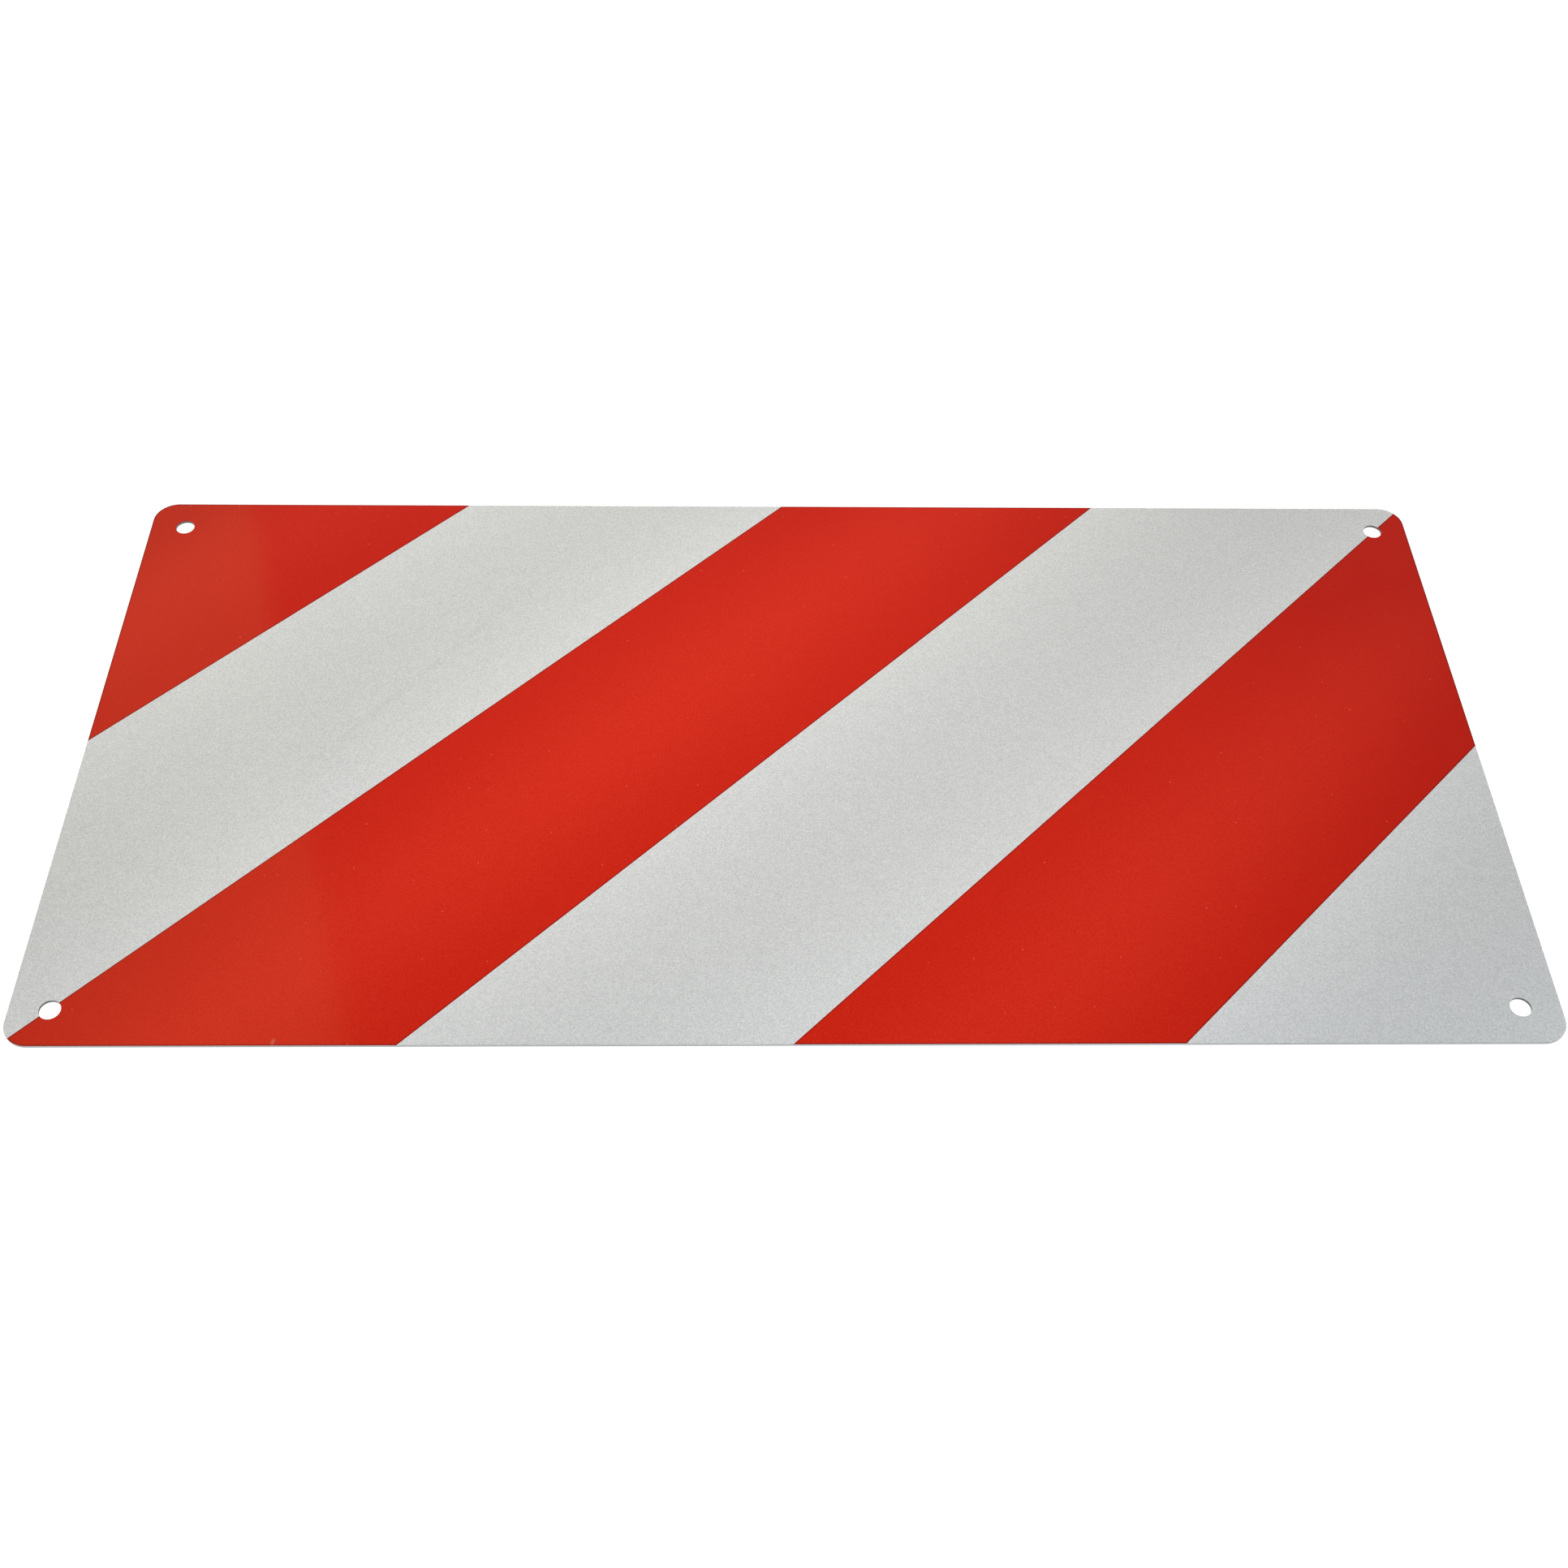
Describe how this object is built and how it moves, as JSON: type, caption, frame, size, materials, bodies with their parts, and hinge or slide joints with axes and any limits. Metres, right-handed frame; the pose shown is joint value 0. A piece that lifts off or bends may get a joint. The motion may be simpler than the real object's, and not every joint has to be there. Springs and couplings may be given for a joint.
{
  "type": "hazard marker board",
  "caption": "Flat rectangular metal board faced with white reflective film and slanting red bands, with a round fixing hole in each corner, to mark an obstacle or a wide load.",
  "frame": {"origin": "centre of the plate's back face, which the board lies on", "axes": "+X along the long edge, to the right as the reflective face is read; +Y up the board as it is mounted; +Z out of the reflective face"},
  "size_m": [0.564, 0.282, 0.0012],
  "materials": {
    "bare_aluminium": "mill finish",
    "white_reflective_film": "smooth clear face over glass beads",
    "red_ink": "smooth"
  },
  "bodies": {
    "root": {"backing_plate": "bare_aluminium", "reflective_film": "white_reflective_film", "red_print": "red_ink"}
  },
  "joints": []
}
